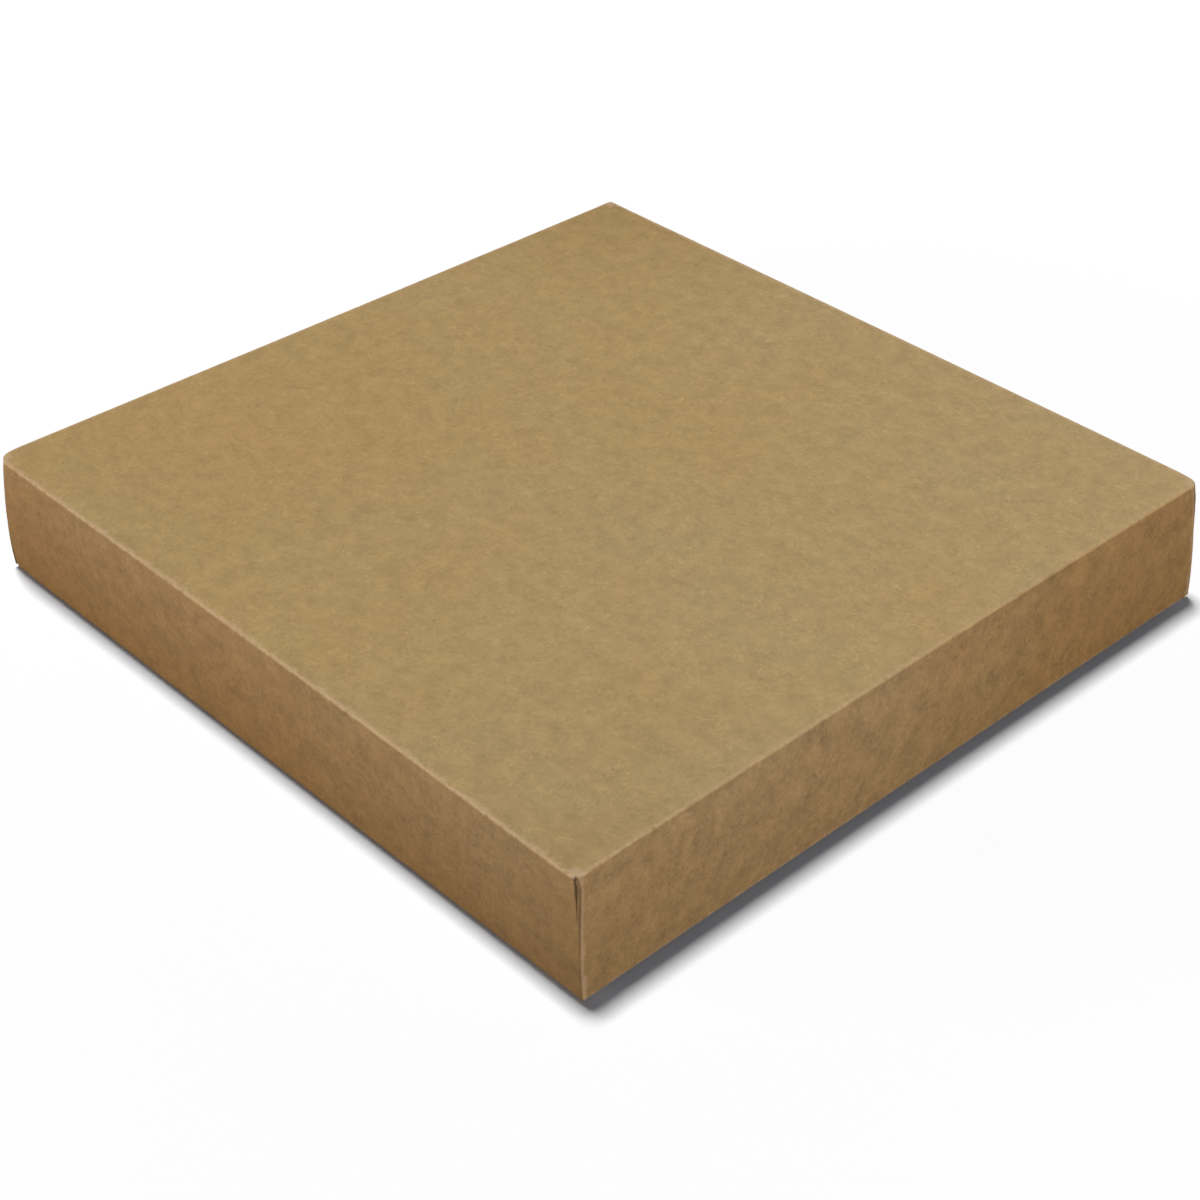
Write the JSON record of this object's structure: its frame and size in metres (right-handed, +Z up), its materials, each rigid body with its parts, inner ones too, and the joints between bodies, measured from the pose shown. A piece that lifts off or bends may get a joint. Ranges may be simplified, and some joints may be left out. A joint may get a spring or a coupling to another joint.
{
  "type": "cake box",
  "caption": "Flat square cake box of plain brown paperboard: a folded tray base under a full-depth lift-off lid with creased edges and open corner slits.",
  "frame": {"origin": "under the middle of the closed box, on the plane that it stands on", "axes": "+Z up, the way the lid lifts; +X across the rolled double walls; +Y across the single walls"},
  "size_m": [0.25, 0.25, 0.04],
  "materials": {
    "paperboard": "uncoated matt brown paperboard with fine mottled fibre, 0.5 mm thick"
  },
  "bodies": {
    "base": {"base": "paperboard"},
    "lid": {"lid": "paperboard"}
  },
  "joints": [
    {"name": "lid_lift", "type": "slide", "parent": "base", "child": "lid", "axis": [0, 0, 1], "range_m": [0, 0.06]}
  ]
}
